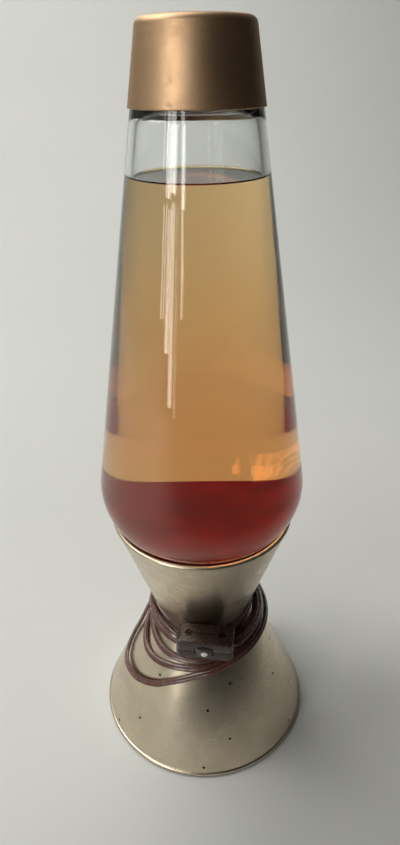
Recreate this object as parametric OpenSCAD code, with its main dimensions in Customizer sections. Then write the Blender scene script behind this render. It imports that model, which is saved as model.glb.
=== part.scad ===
// Lava lamp: a sealed tapered globe in an hourglass base of spun metal, under a lift-off cap.
// Millimetres. The origin is on the table, on the lamp's axis. +Z is up and -Y is the front.

/* [Overall] */
// Height from the table to the top of the cap
total_h = 435; // [433:1:439]

/* [Base] */
// Outer radius of the rolled lip at the foot
base_r = 73; // [71:0.5:76]
// Radius of the waist, where the two cones meet
waist_r = 30; // [29.5:0.5:31]
// Height of the waist
waist_z = 90; // [89:0.5:91]
// Outer radius of the rolled rim that carries the globe
rim_r = 56.7; // [56.7:0.1:58]
// Height of the centre of the rolled rim
rim_z = 169.8; // [169:0.1:169.8]
// Thickness of the spun metal
base_wall = 1.2; // [1:0.1:1.4]
// How far the lower cone bows outwards at half height
skirt_bow = 3; // [2:0.5:4]
// Diameter of a pinhole in the lower cone
pinhole_d = 1.8; // [1.2:0.1:2.4]
// Pinholes in each ring
pinhole_count = 6; // [4:1:8]

/* [Globe] */
// Largest outer radius of the globe
globe_r = 62; // [61:0.1:62]
// Height of the widest place
globe_z = 195; // [195:0.1:198]
// Radius of the round between the two tapers
globe_round = 38; // [37:1:39]
// Thickness of the glass
globe_wall = 4; // [3.5:0.1:4.4]
// Height of the surface of the liquid
liquid_z = 371; // [340:1:385]
// Height of the surface of the cold wax
wax_z = 173.5; // [165:0.5:205]

/* [Cap] */
// Outer radius of the cap's lower edge
cap_low_r = 32; // [32:0.1:33]
// Outer radius of the cap's top, before its rounded corner
cap_top_r = 27; // [26.8:0.1:28]
// Height of the cap
cap_h = 35.5; // [34:0.5:37]
// Thickness of the cap's metal
cap_wall = 0.7; // [0.5:0.1:0.7]

/* [Bulb] */
// Radius of the bulb
bulb_r = 24; // [22:0.5:24]
// Length from the end contact to the top of the glass
bulb_len = 89; // [86:1:90]

/* [Switch] */
// Length of the switch housing
switch_l = 36; // [34:1:40]
// Depth of the switch housing, front to back
switch_d = 16.5; // [15.5:0.5:16.5]
// Height of the switch housing
switch_h = 14; // [13:0.5:14]
// Radius of the thumbwheel
wheel_r = 7.4; // [7:0.1:7.6]

/* [Cord] */
// Radius of the plain tube that stands for the flat cord
cord_r = 1.6; // [1.3:0.1:1.7]
// Outer radius of the winding round the waist
winding_r = 46; // [45:0.5:46]

/* [Hidden] */

$fn = 96;
touch = 0.05;        // half of the gap between two pieces that lie on each other
gap = 0.1;           // gap between a filling and its container
brass = "#b8954a";
steel = "#9a9c9f";
champagne = "#b9a88c";
dark_brown = "#3a2822";

// ---- base -------------------------------------------------------------------------------
lip_r = 1.6;
lip_z = 2;
skirt_low_z = 2.5;
skirt_steps = 10;
rim_bead_r = 1.5;
flange_r = 21;       // inner radius of the two waist flanges
fixing_r = 24.5;     // circle that carries the rivets and the bracket screws
fixing_hole_r = 1.7;
pinhole_rings = [[7, 209], [24.5, 225], [44.5, 212], [58.5, 231]];  // height, first angle
plate_z = 1.8;
plate_h = 2;
plate_r = base_r - 3.8;
felt_w = 11;

function skirt_r(z) = let (t = z / waist_z)
    base_r + (waist_r - base_r) * t + 4 * skirt_bow * t * (1 - t);
function skirt_z(i) = skirt_low_z + (waist_z - touch - skirt_low_z) * i / skirt_steps;

// ---- cord outlet ------------------------------------------------------------------------
outlet_z = 20;
outlet_tilt = 22;    // the bushing stands square to the cone
outlet_hole_r = 4.7;
bushing_l = 20;

// ---- globe ------------------------------------------------------------------------------
upper_taper = 0.154; // loss of radius for each millimetre of height above the widest place
lower_taper = 0.64;  // loss of radius for each millimetre of height below it
up_a = atan(upper_taper);
low_a = atan(lower_taper);
round_x = globe_r - globe_round;
foot_z = 148;
heel_r = 5;
shoulder_z = 409;
shoulder_r = 5;
shoulder_in_r = 11; // the glass is thicker where the shoulder turns
neck_r = 12.4;
mouth_r = 13.3;
mouth_z = 421;
bore_r = 8.5;
side_steps = 12;
arc_steps = 5;

// Radius of the globe's profile, moved inwards by off, at height z
function globe_side(z, off) = let (r = globe_round - off)
    z > globe_z + r * sin(up_a)
        ? round_x + r * cos(up_a) - upper_taper * (z - globe_z - r * sin(up_a))
    : z < globe_z - r * sin(low_a)
        ? round_x + r * cos(low_a) - lower_taper * (globe_z - r * sin(low_a) - z)
    : round_x + sqrt(r * r - (z - globe_z) * (z - globe_z));
heel_x = globe_side(foot_z + heel_r, 0) - heel_r / cos(low_a);

// An arc's points, as [radius, height]
function arc(x, z, r, a0, a1, n) =
    [for (i = [0:n]) let (a = a0 + (a1 - a0) * i / n) [x + r * cos(a), z + r * sin(a)]];
// The shoulder's arc, of radius r, on the side moved inwards by off
function shoulder(off, r) = let (z = shoulder_z - off - r)
    arc(globe_side(z, off) - r / cos(up_a), z, r, up_a, 90, arc_steps);
// The globe's side from heel to shoulder, moved inwards by off
function globe_outline(off, turn_r) = concat(
    arc(heel_x, foot_z + heel_r, heel_r - off, -90, -low_a, arc_steps),
    arc(round_x, globe_z, globe_round - off, -low_a, up_a, side_steps),
    shoulder(off, turn_r));
// The inside of the globe between two heights, less a gap
function filling(z0, z1) = let (off = globe_wall + gap, n = side_steps)
    [for (i = [0:n]) let (z = z0 + (z1 - z0) * i / n) [globe_side(z, off), z]];

coil_ring_r = 29;
coil_r = 3;

// ---- cap --------------------------------------------------------------------------------
cap_z = total_h - cap_h;
cap_corner = 3.5;
cap_dome = 0.5;
cap_slope = (cap_low_r - cap_top_r) / (cap_h - cap_corner);
cap_a = atan(cap_slope);
cap_corner_z = total_h - cap_dome - cap_corner;
cap_corner_x = cap_low_r - cap_slope * (cap_corner_z - cap_z) - cap_corner / cos(cap_a);
function cap_outline(off) = concat(
    [[cap_low_r - off / cos(cap_a), cap_z]],
    arc(cap_corner_x, cap_corner_z, cap_corner - off, cap_a, 90, arc_steps),
    [[0, total_h - off]]);

// ---- bulb and lampholder ----------------------------------------------------------------
bulb_z = 56;
bulb_top = bulb_z + bulb_len;
bulb_mid = bulb_top - bulb_r;
bulb_glass_t = 0.8;
neck_glass_r = 11.8;
neck_low = 79;
neck_top = 84;
throat_a = -48;      // where the bulb's round turns into its neck
thread_r = 12.7;     // mean radius of the rolled thread
thread_depth = 0.4;
thread_pitch = 3.6;
thread_low = 60;
thread_turns = 5;
thread_fit = 0.45;   // room between the bulb's thread and the lampholder's
filament_z = 118;
lead_x = 9;
holder_r = 18.3;
holder_z = 47.2;
holder_top = 80;
holder_floor = 5;
holder_bore = 15.2;
bracket_w = 14;
bracket_t = 1.2;
bracket_x = 20;

// Outline of a rolled thread, moved outwards by off
function thread(off) = [for (i = [0:4 * thread_turns])
    [thread_r + off + (i % 4 < 2 ? thread_depth : -thread_depth),
     thread_low + thread_pitch * i / 4]];

// ---- switch -----------------------------------------------------------------------------
switch_at = [1, -43.8, 98];
switch_turn = -8;
switch_corner = 3;
switch_screw_x = 10.5;
wheel_y = 3.2;
wheel_h = 5;
wheel_room = 0.4;
wheel_axle_r = 1.8;
axle_fit = 0.06;
wheel_ribs = 30;
channel_w = 4.7;
channel_h = 2.7;

// ---- plug -------------------------------------------------------------------------------
plug_at = [54, 64];  // radius and height of the end where the cord enters
plug_turn = 62;      // angle round the lamp's axis
plug_tilt = 154;     // from straight up: the plug hangs down along the cone
plug_w = 24;
plug_t = 13;
plug_l = 26;
blade_gap = 12.7;
blade_w = 6.3;
blade_t = 1.5;
blade_l = 17;

// ---- cord routes ------------------------------------------------------------------------
winding_low = 72;
winding_top = 98;
// Inside the base: from the lampholder down and back to the bushing
inner_route = [[0, 0, 50], [0, 1, 38], [0, 6, 26], [0, 18, 15], [0, 34, 10], [0, 50, 13],
    [0, 62, 18.5], [0, 72, 22.5]];
// From inside the bushing up the back and into the winding
rise_route = [[0, 72, 22.5], [0, 84, 27.5], [0, 91, 31], [-1, 96, 37], [-2, 97, 46], [-4, 93, 56],
    [-8, 83, 66], [-13, 70, 75], [-18, 57, 83], [-23, 45, 88], [-28, 34, 91]];
// The loose loop: out of the winding at the left, down the cone and back across the front
loop_route = [[-33, 18, 86], [-37, 10, 83], [-41, 5, 76.5], [-45.5, 3, 67], [-50.6, 2, 57],
    [-54, -1, 50], [-56, -7, 46], [-55.3, -15, 45], [-52, -22.5, 45.6], [-47, -30, 47.5],
    [-40.5, -36, 50.5], [-32.3, -41, 54.5], [-22, -43.8, 60], [-12, -45, 64.5],
    [-2, -45.5, 68.5], [8, -45, 71.5], [16, -43, 74]];
// From the winding to the plug
tail_route = [[37, 26, 88], [34, 33, 87], [31, 38, 84], [28, 42, 79], [26, 44, 73],
    [25, 46, 68], [25.5, 48, 65]];
tube_sides = 8;
tube_steps = 2;

function blend(a, b, c, d, t) = 0.5 * (2 * b + (c - a) * t
    + (2 * a - 5 * b + 4 * c - d) * t * t + (3 * b - a - 3 * c + d) * t * t * t);
function smooth(p) = let (last = len(p) - 1) concat(
    [for (i = [0:last - 1]) for (j = [0:tube_steps - 1])
        blend(p[max(i - 1, 0)], p[i], p[i + 1], p[min(i + 2, last)], j / tube_steps)],
    [p[last]]);
function unit(v) = v / norm(v);

// ---- shared shapes ----------------------------------------------------------------------
module shell(outer, inner) {
    rotate_extrude()
        polygon(concat(outer, [for (i = [len(inner) - 1:-1:0]) inner[i]]));
}

module ring_at(r, z, bead) {
    translate([r, z]) circle(bead, $fn = 32);
}

module tube(r_out, r_in, h) {
    difference() {
        cylinder(r = r_out, h = h);
        translate([0, 0, -1]) cylinder(r = r_in, h = h + 2);
    }
}

module around(angles) {
    for (a = angles) rotate([0, 0, a]) children();
}

module hex_nut(across, bore, h) {
    difference() {
        cylinder(r = across / sqrt(3), h = h, $fn = 6);
        translate([0, 0, -1]) cylinder(r = bore, h = h + 2);
    }
}

module slab(w, d, h, r) {
    linear_extrude(h) {
        square([w - 2 * r, d], center = true);
        square([w, d - 2 * r], center = true);
        for (x = [-1, 1], y = [-1, 1])
            translate([x * (w / 2 - r), y * (d / 2 - r)]) circle(r, $fn = 48);
    }
}

module cord_tube(route, r) {
    p = smooth(route);
    n = len(p);
    points = [for (i = [0:n - 1]) let (
            t = unit(p[min(i + 1, n - 1)] - p[max(i - 1, 0)]),
            u = unit(cross(t, [1, 1, 1])), v = cross(t, u))
        for (k = [0:tube_sides - 1]) let (a = 360 * k / tube_sides)
            p[i] + r * (cos(a) * u + sin(a) * v)];
    sides = [for (i = [0:n - 2], k = [0:tube_sides - 1]) let (
            a = i * tube_sides + k, b = i * tube_sides + (k + 1) % tube_sides)
        for (face = [[a, a + tube_sides, b + tube_sides], [a, b + tube_sides, b]]) face];
    ends = [[for (k = [0:tube_sides - 1]) k],
        [for (k = [tube_sides - 1:-1:0]) (n - 1) * tube_sides + k]];
    polyhedron(points, concat(sides, ends), convexity = 6);
}

module at_outlet() {
    translate([0, skirt_r(outlet_z), outlet_z]) rotate([outlet_tilt - 90, 0, 0]) children();
}

module at_switch() {
    translate(switch_at) rotate([0, 0, switch_turn]) children();
}

module at_plug() {
    rotate([0, 0, plug_turn]) translate([plug_at[0], 0, plug_at[1]])
        rotate([0, plug_tilt, 0]) children();
}

// ---- base -------------------------------------------------------------------------------
module fixing_holes(z) {
    around([0:90:270]) translate([fixing_r, 0, z]) cylinder(r = fixing_hole_r, h = 10,
        center = true);
}

module lower_cone() {
    color(champagne) difference() {
        rotate_extrude() {
            polygon(concat(
                [for (i = [0:skirt_steps]) [skirt_r(skirt_z(i)), skirt_z(i)]],
                [for (i = [skirt_steps:-1:0]) [skirt_r(skirt_z(i)) - base_wall, skirt_z(i)]]));
            ring_at(base_r - lip_r, lip_z, lip_r);
            translate([flange_r, waist_z - touch - base_wall])
                square([waist_r - base_wall / 2 - flange_r, base_wall]);
        }
        fixing_holes(waist_z);
        for (ring = pinhole_rings)
            around([for (i = [0:pinhole_count - 1]) ring[1] + i * 360 / pinhole_count])
                translate([skirt_r(ring[0]), 0, ring[0]]) rotate([0, 90 - outlet_tilt, 0])
                    cylinder(d = pinhole_d, h = 6, center = true, $fn = 24);
        at_outlet() cylinder(r = outlet_hole_r, h = 8, center = true);
    }
}

module upper_cone() {
    rim_x = rim_r - rim_bead_r;
    color(champagne) difference() {
        rotate_extrude() {
            polygon([[waist_r, waist_z + touch], [rim_x, rim_z],
                [rim_x - base_wall, rim_z], [waist_r - base_wall, waist_z + touch]]);
            ring_at(rim_x, rim_z, rim_bead_r);
            translate([flange_r, waist_z + touch])
                square([waist_r - base_wall / 2 - flange_r, base_wall]);
        }
        fixing_holes(waist_z);
    }
}

module waist_rivets() {
    color(steel) around([90, 270]) translate([fixing_r, 0, waist_z]) {
        cylinder(r = 1.5, h = 4.4, center = true);
        for (s = [0, 180]) rotate([s, 0, 0])
            translate([0, 0, base_wall + 2 * touch]) cylinder(r1 = 2.8, r2 = 2, h = 0.9);
    }
}

module bottom_plate() {
    color("#6b5138") translate([0, 0, plate_z]) cylinder(r = plate_r, h = plate_h);
}

module felt_ring() {
    color("#2b2d2b") tube(plate_r, plate_r - felt_w, plate_z);
}

module cord_bushing() {
    color(dark_brown) at_outlet() difference() {
        union() {
            translate([0, 0, -4]) cylinder(r = outlet_hole_r - 0.2, h = 6);
            translate([0, 0, -5]) cylinder(r1 = 5, r2 = 6.2, h = 2.2);
            translate([0, 0, 1]) cylinder(r = 6.8, h = 1.6);
            translate([0, 0, 2]) cylinder(r1 = 5.2, r2 = 3.9, h = bushing_l - 2);
        }
        translate([0, 0, -6]) cylinder(r = 2.4, h = bushing_l + 8);
    }
}

// ---- lampholder -------------------------------------------------------------------------
module socket_bracket() {
    ear_z = waist_z - touch - base_wall - touch;
    color(steel) difference() {
        rotate([90, 0, 0]) linear_extrude(bracket_w, center = true) {
            translate([-bracket_x - bracket_t, holder_z - touch - bracket_t])
                square([2 * (bracket_x + bracket_t), bracket_t]);
            for (s = [0, 1]) mirror([s, 0]) {
                translate([bracket_x, holder_z - touch - bracket_t])
                    square([bracket_t, ear_z - holder_z + touch + bracket_t]);
                translate([bracket_x, ear_z - bracket_t]) square([7.5, bracket_t]);
            }
        }
        translate([0, 0, holder_z]) cylinder(r = 5, h = 8, center = true);
        for (s = [-1, 1]) translate([s * fixing_r, 0, ear_z])
            cylinder(r = fixing_hole_r, h = 8, center = true);
    }
}

module bracket_screws() {
    color(steel) for (s = [-1, 1]) translate([s * fixing_r, 0, 0]) difference() {
        union() {
            translate([0, 0, waist_z - 7]) cylinder(r = 1.5, h = 9);
            translate([0, 0, waist_z + base_wall + 2 * touch]) cylinder(r1 = 3, r2 = 2.4, h = 2);
        }
        translate([0, 0, waist_z + base_wall + 2]) cube([8, 0.8, 1.6], center = true);
    }
}

module bracket_nuts() {
    color(steel) for (s = [-1, 1]) translate([s * fixing_r, 0, 85]) hex_nut(5.5, 1.56, 2.4);
}

module socket_nipple() {
    color(brass) translate([0, 0, 41]) tube(4.8, 3.3, 10.5);
}

module nipple_nut() {
    color(steel) translate([0, 0, 43]) hex_nut(14, 4.86, 2.8);
}

module socket_body() {
    color("#e9e4d8") difference() {
        translate([0, 0, holder_z]) cylinder(r = holder_r, h = holder_top - holder_z);
        translate([0, 0, holder_z + holder_floor]) cylinder(r = holder_bore, h = 40);
        translate([0, 0, holder_z - 1]) cylinder(r = 4.9, h = 8);
        for (a = [90, 270]) rotate([0, 0, a]) translate([holder_bore - 2, 0, 57])
            rotate([0, 90, 0]) cylinder(r = 1.7, h = 8);
    }
}

module socket_shell() {
    low = holder_z + holder_floor + 1.2;
    color(brass) shell(
        concat([[14.2, low], [14.2, thread_low - 0.5]], thread(thread_fit + 0.5)),
        concat([[13.7, low], [13.7, thread_low - 0.5]], thread(thread_fit)));
}

module socket_disc() {
    color("#7a4a2a") translate([0, 0, holder_z + holder_floor + touch]) tube(15, 3, 1);
}

module socket_contact() {
    low = holder_z + holder_floor + 1.2;
    color(brass) rotate([90, 0, 0]) linear_extrude(6, center = true)
        polygon([[-8, low], [8, low], [8, low + 0.5], [3, low + 0.5], [1.5, low + 2.2],
            [-4, low + 2.2], [-4, low + 1.7], [1.1, low + 1.7], [2.4, low + 0.5],
            [-8, low + 0.5]]);
}

module terminal_screws() {
    color(brass) for (a = [90, 270]) rotate([0, 0, a]) translate([14.3, 0, 57])
        rotate([0, 90, 0]) difference() {
            union() {
                cylinder(r = 1.5, h = 5);
                translate([0, 0, holder_r - 14.3 + touch]) cylinder(r = 2.8, h = 1.8);
            }
            translate([0, 0, 6.2]) cube([0.8, 8, 1.4], center = true);
        }
}

// ---- bulb -------------------------------------------------------------------------------
function bulb_outline(off) = concat(
    [[neck_glass_r - off, neck_low], [neck_glass_r - off, neck_top]],
    arc(0, bulb_mid, bulb_r - off, throat_a, 90, 12));

module bulb_glass() {
    color("#f4f1ea") shell(bulb_outline(0), bulb_outline(bulb_glass_t));
}

module bulb_cap() {
    top_z = thread_low + thread_pitch * thread_turns;
    color("#c9c4b4") shell(
        concat([[8, 57.8], [11.5, 58.6]], thread(0), [[13.1, top_z + 2.5], [13.1, 83]]),
        [[7.4, 58.3], [11, 59.1], [neck_glass_r + gap, 61], [neck_glass_r + gap, 83]]);
}

module bulb_insulator() {
    color("#1d1b1b") rotate_extrude()
        polygon([[3.2, 56.9], [5, 56.9], [7.9, 57.7], [7.3, 58.2], [3.2, 58.2]]);
}

module bulb_contact() {
    color("#b9b9b4") rotate_extrude()
        polygon([[0, bulb_z], [2.5, bulb_z], [4.2, 56.8], [3.1, 56.85], [3.1, 58.2], [0, 58.2]]);
}

module bulb_stem() {
    color("#e4e8e6") rotate_extrude()
        polygon([[0, 84], [4, 84], [4, 96], [2, 106], [0, 106]]);
}

module bulb_leads() {
    color(steel) for (s = [-1, 1]) translate([s * lead_x, 0, 86]) {
        cylinder(r = 0.35, h = filament_z - 86 - 0.6);
        rotate([0, -s * 90, 0]) cylinder(r = 0.35, h = lead_x - 4 - touch);
    }
}

module bulb_filament() {
    color("#5c5c60") translate([0, 0, filament_z]) rotate([0, 90, 0])
        cylinder(r = 0.5, h = 2 * lead_x + 1.4, center = true);
}

// ---- globe ------------------------------------------------------------------------------
module globe_glass() {
    color("#d8e4e2", 0.35) shell(
        concat([[0, foot_z + 1.5], [26, foot_z + 1.5], [30, foot_z]],
            globe_outline(0, shoulder_r),
            [[neck_r + 1, shoulder_z], [neck_r, shoulder_z + 1],
             [neck_r, mouth_z - 4.5], [mouth_r, mouth_z - 3.5], [mouth_r, mouth_z - 1],
             [mouth_r - 1, mouth_z]]),
        concat([[0, foot_z + globe_wall + 1]], [[26, foot_z + globe_wall + 1]],
            globe_outline(globe_wall, shoulder_in_r),
            [[bore_r, shoulder_z - globe_wall], [bore_r, mouth_z]]));
}

module liquid() {
    color("#d09a5a", 0.5) rotate_extrude()
        polygon(concat([[0, wax_z + gap]], filling(wax_z + gap, liquid_z), [[0, liquid_z]]));
}

module wax() {
    low = foot_z + globe_wall + 1 + gap;
    color("#c01822") difference() {
        rotate_extrude()
            polygon(concat([[0, low], [heel_x, low]], filling(foot_z + 7, wax_z), [[0, wax_z]]));
        rotate_extrude() translate([coil_ring_r - coil_r - gap, low - 1])
            square([2 * (coil_r + gap), 1 + 2 * coil_r + 2 * gap]);
    }
}

module wax_coil() {
    color(steel) rotate_extrude()
        ring_at(coil_ring_r, foot_z + globe_wall + 1 + 2 * gap + coil_r, coil_r);
}

module crown_liner() {
    color("#d8d2c4") translate([0, 0, mouth_z + touch]) cylinder(r = mouth_r, h = 0.8);
}

module crown_cap() {
    low = mouth_z - 4.6;
    top = mouth_z + 1.6;
    color("#c8ab62") difference() {
        shell([[15.9, low], [14.4, top - 1.2], [13.4, top], [0, top]],
            [[15.5, low], [14, top - 1.4], [13.2, top - 0.6], [0, top - 0.6]]);
        around([0:360 / 21:359]) translate([16.4, 0, low - 1]) cylinder(r = 0.75, h = 3.6,
            $fn = 16);
    }
}

module cap() {
    color("#b8935a") shell(cap_outline(0), cap_outline(cap_wall));
}

// ---- cord -------------------------------------------------------------------------------
module cord_inner() {
    color("#5a4238") cord_tube(inner_route, cord_r);
}

module cord_rise() {
    color("#5a4238") cord_tube(rise_route, cord_r);
}

module cord_loop() {
    color("#5a4238") cord_tube(loop_route, cord_r);
}

module cord_tail() {
    color("#5a4238") cord_tube(tail_route, cord_r);
}

module cord_winding() {
    color("#5a4238") difference() {
        rotate_extrude()
            polygon([[skirt_r(winding_low) + 0.4, winding_low],
                [skirt_r(81) + 0.4, 81], [waist_r + 0.6, waist_z],
                [waist_r + 3.2, winding_top], [winding_r - 8, winding_top],
                [winding_r, waist_z + 2], [winding_r, winding_low + 3],
                [winding_r - 2.5, winding_low]]);
        at_switch() translate([0, -20 + switch_d / 2 + 0.2, 0])
            cube([switch_l + 2 * gap, 40, switch_h + 2 * gap], center = true);
    }
}

// ---- switch -----------------------------------------------------------------------------
// Room in the housing for the wheel, its axle, the screws, the contacts and the cord
module switch_room() {
    translate([0, -wheel_y, 0]) {
        cylinder(r = wheel_r + wheel_room, h = wheel_h + 2 * wheel_room, center = true);
        cylinder(r = wheel_axle_r + axle_fit, h = 10.6, center = true);
    }
    for (s = [-1, 1]) {
        translate([s * switch_screw_x, 0, 0]) {
            cylinder(r = 1.3, h = 12, center = true);
            translate([0, 0, switch_h / 2 - 1.6]) cylinder(r = 2.5, h = 3);
        }
        translate([s * switch_l / 2, 1.5, 0]) cube([9, channel_w, channel_h], center = true);
    }
    translate([0, 5.8, 0]) cube([22, 1.6, 5], center = true);
}

module switch_half(side) {
    difference() {
        translate([0, 0, side > 0 ? touch : -switch_h / 2])
            slab(switch_l, switch_d, switch_h / 2 - touch, switch_corner);
        switch_room();
    }
}

module switch_top() {
    color(dark_brown) at_switch() switch_half(1);
}

module switch_bottom() {
    color(dark_brown) at_switch() switch_half(-1);
}

module switch_wheel() {
    color("#4a332b") at_switch() translate([0, -wheel_y, 0]) difference() {
        union() {
            cylinder(r = wheel_r, h = wheel_h, center = true);
            cylinder(r = wheel_axle_r, h = 10, center = true);
        }
        around([for (i = [0:wheel_ribs - 1]) 360 * i / wheel_ribs])
            translate([wheel_r + 0.25, 0, 0]) cylinder(r = 0.5, h = wheel_h + 1, center = true,
                $fn = 16);
    }
}

module switch_screws() {
    color(brass) at_switch() for (s = [-1, 1]) translate([s * switch_screw_x, 0, 0])
        difference() {
            union() {
                translate([0, 0, -5]) cylinder(r = 1.1, h = 10.6);
                translate([0, 0, switch_h / 2 - 1.5]) cylinder(r = 2.3, h = 1.2);
            }
            translate([0, 0, switch_h / 2]) cube([6, 0.6, 1.4], center = true);
        }
}

module switch_contacts() {
    color(brass) at_switch() for (s = [-1, 1])
        translate([s * 6, 5.8, 0]) cube([9, 0.6, 4], center = true);
}

// ---- plug -------------------------------------------------------------------------------
module plug_body() {
    color(dark_brown) at_plug() difference() {
        union() {
            cylinder(r1 = 4, r2 = 5, h = 6);
            translate([0, 0, 5]) slab(plug_t, 17, 5, 5);
            translate([0, 0, 9]) slab(plug_t, plug_w, plug_l - 9, 5);
        }
        for (s = [-1, 1]) translate([0, s * blade_gap / 2, plug_l])
            cube([blade_t, blade_w, 12], center = true);
        translate([0, 0, -1]) cylinder(r = 2.4, h = 4);
    }
}

module plug_blades() {
    color(brass) at_plug() for (s = [-1, 1]) translate([0, s * blade_gap / 2, 0]) difference() {
        translate([-blade_t / 2 + 0.02, -blade_w / 2 + 0.02, plug_l - 5.9])
            cube([blade_t - 0.04, blade_w - 0.04, blade_l + 5.9]);
        translate([0, 0, plug_l + blade_l - 4]) rotate([0, 90, 0])
            cylinder(r = 1.6, h = 6, center = true);
    }
}

lower_cone();
upper_cone();
waist_rivets();
bottom_plate();
felt_ring();
cord_bushing();
socket_bracket();
bracket_screws();
bracket_nuts();
socket_nipple();
nipple_nut();
socket_body();
socket_shell();
socket_disc();
socket_contact();
terminal_screws();
bulb_glass();
bulb_cap();
bulb_insulator();
bulb_contact();
bulb_stem();
bulb_leads();
bulb_filament();
globe_glass();
liquid();
wax();
wax_coil();
crown_liner();
crown_cap();
cap();
cord_inner();
cord_rise();
cord_loop();
cord_winding();
cord_tail();
switch_top();
switch_bottom();
switch_wheel();
switch_screws();
switch_contacts();
plug_body();
plug_blades();
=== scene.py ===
"""Lava lamp: the looks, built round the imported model.

Metres, in the frame of the CAD model: the lamp's axis is the Z axis, +Z is up and -Y is the front.
"""
from math import atan, atan2, ceil, copysign, cos, exp, pi, radians, sin, sqrt, tan

import bmesh
import bpy
import numpy as np
from mathutils import Matrix, Vector


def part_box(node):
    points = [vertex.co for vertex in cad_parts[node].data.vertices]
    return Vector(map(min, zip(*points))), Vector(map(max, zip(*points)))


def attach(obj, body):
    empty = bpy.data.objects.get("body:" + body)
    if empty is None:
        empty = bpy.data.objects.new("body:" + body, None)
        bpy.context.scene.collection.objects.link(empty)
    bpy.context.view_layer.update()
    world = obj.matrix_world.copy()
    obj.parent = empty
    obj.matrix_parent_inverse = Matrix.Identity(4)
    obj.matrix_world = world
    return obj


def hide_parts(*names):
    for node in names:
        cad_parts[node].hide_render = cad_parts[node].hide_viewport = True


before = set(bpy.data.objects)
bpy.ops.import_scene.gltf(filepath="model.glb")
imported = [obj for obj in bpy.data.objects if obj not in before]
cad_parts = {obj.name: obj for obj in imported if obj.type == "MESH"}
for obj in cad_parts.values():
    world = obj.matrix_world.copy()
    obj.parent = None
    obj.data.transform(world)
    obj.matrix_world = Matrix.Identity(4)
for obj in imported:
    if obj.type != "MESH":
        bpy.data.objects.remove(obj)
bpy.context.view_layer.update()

# ---- sizes, as in the CAD source ----
BASE_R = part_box("lower_cone")[1].x
TOP_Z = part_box("cap")[1].z
CAP_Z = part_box("cap")[0].z
MOUTH_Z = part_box("globe_glass")[1].z
FOOT_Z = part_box("globe_glass")[0].z
LIQUID_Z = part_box("liquid")[1].z
WAX_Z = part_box("wax")[1].z

WAIST_R = 0.030
WAIST_Z = 0.090
HALF_GAP = 0.00005       # half of the gap between two pieces that lie on each other
BASE_WALL = 0.0012
SKIRT_BOW = 0.003        # how far the lower cone's side swells out, half way up
SKIRT_LOW_Z = 0.0025
LIP_R = 0.0016
LIP_Z = 0.002
FLANGE_R = 0.021
FIXING_R = 0.0245
FIXING_HOLE_R = 0.0017
RIM_BEAD_R = 0.0015
RIM_X = 0.0567 - RIM_BEAD_R
RIM_Z = 0.1698
PINHOLE_R = 0.0009
PINHOLE_COUNT = 6
PINHOLE_RINGS = ((0.007, 209), (0.0245, 225), (0.0445, 212), (0.0585, 231))   # height, first angle
OUTLET_Z = 0.020
OUTLET_TILT = radians(22)
OUTLET_R = 0.0047

GLOBE_R = 0.062
GLOBE_Z = 0.195
GLOBE_ROUND = 0.038
GLOBE_WALL = 0.004
UPPER_TAPER = 0.154
LOWER_TAPER = 0.64
HEEL_R = 0.005
SHOULDER_Z = 0.409
SHOULDER_R = 0.005
SHOULDER_IN_R = 0.015    # rounder than in the CAD source
NECK_R = 0.0124
MOUTH_R = 0.0133
BORE_R = 0.0085

CAP_LOW_R = 0.032
CAP_TOP_R = 0.027
CAP_CORNER = 0.0035
CAP_DOME = 0.0005
CAP_WALL = 0.0007

SWITCH_AT = Vector((0.001, -0.0438, 0.098))
SWITCH_TURN = radians(-8)
SWITCH_SIZE = Vector((0.036, 0.0165, 0.014))
SWITCH_CORD_Y = 0.0015
SWITCH_SCREW_X = 0.0105
WHEEL_Y = -0.0032
WHEEL_R = 0.0074
WHEEL_H = 0.005

PLUG_ANGLE = radians(62)
PLUG_R = 0.054
PLUG_Z = 0.064
PLUG_TILT = radians(154)
BLADE_Y = 0.00635        # from the plug's middle to each blade


def skirt_r(z):
    """Outer radius of the lower cone at height z."""
    t = z / WAIST_Z
    return BASE_R + (WAIST_R - BASE_R) * t + 4 * SKIRT_BOW * t * (1 - t)


def upper_r(z):
    """Outer radius of the upper cone at height z."""
    return WAIST_R + (RIM_X - WAIST_R) * (z - WAIST_Z) / (RIM_Z - WAIST_Z)


def new_object(name, data):
    """A new object, linked into the scene."""
    o = bpy.data.objects.new(name, data)
    bpy.context.scene.collection.objects.link(o)
    return o


# ---- camera ----
def make_camera():
    data = bpy.data.cameras.new("camera")
    data.sensor_width = 36
    data.lens = 26.41
    data.clip_start = 0.01
    camera = new_object("camera", data)
    camera.location = (-0.0006, -0.3185, 0.4135)
    pitch, roll = radians(90 - 29.5), radians(-0.79)
    camera.rotation_euler = (Matrix.Rotation(pitch, 3, "X") @ Matrix.Rotation(roll, 3, "Z")).to_euler()
    bpy.context.scene.camera = camera


# ---- curves and meshes ----
def smooth_line(points, step):
    """Points about step apart on a centripetal Catmull-Rom curve through points."""
    p = [np.array(q, float) for q in points]
    p = [2 * p[0] - p[1], *p, 2 * p[-1] - p[-2]]
    line = []
    for a, b, c, d in zip(p, p[1:], p[2:], p[3:]):
        t1 = np.linalg.norm(b - a) ** 0.5
        t2 = t1 + np.linalg.norm(c - b) ** 0.5
        t3 = t2 + np.linalg.norm(d - c) ** 0.5
        count = max(2, ceil(np.linalg.norm(c - b) / step))
        for t in np.linspace(t1, t2, count, endpoint=False):
            ab = a + (b - a) * t / t1
            bc = b + (c - b) * (t - t1) / (t2 - t1)
            cd = c + (d - c) * (t - t2) / (t3 - t2)
            abc = ab + (bc - ab) * t / t2
            bcd = bc + (cd - bc) * (t - t1) / (t3 - t1)
            line.append(abc + (bcd - abc) * (t - t1) / (t2 - t1))
    line.append(p[-2])
    return np.array(line)


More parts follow.
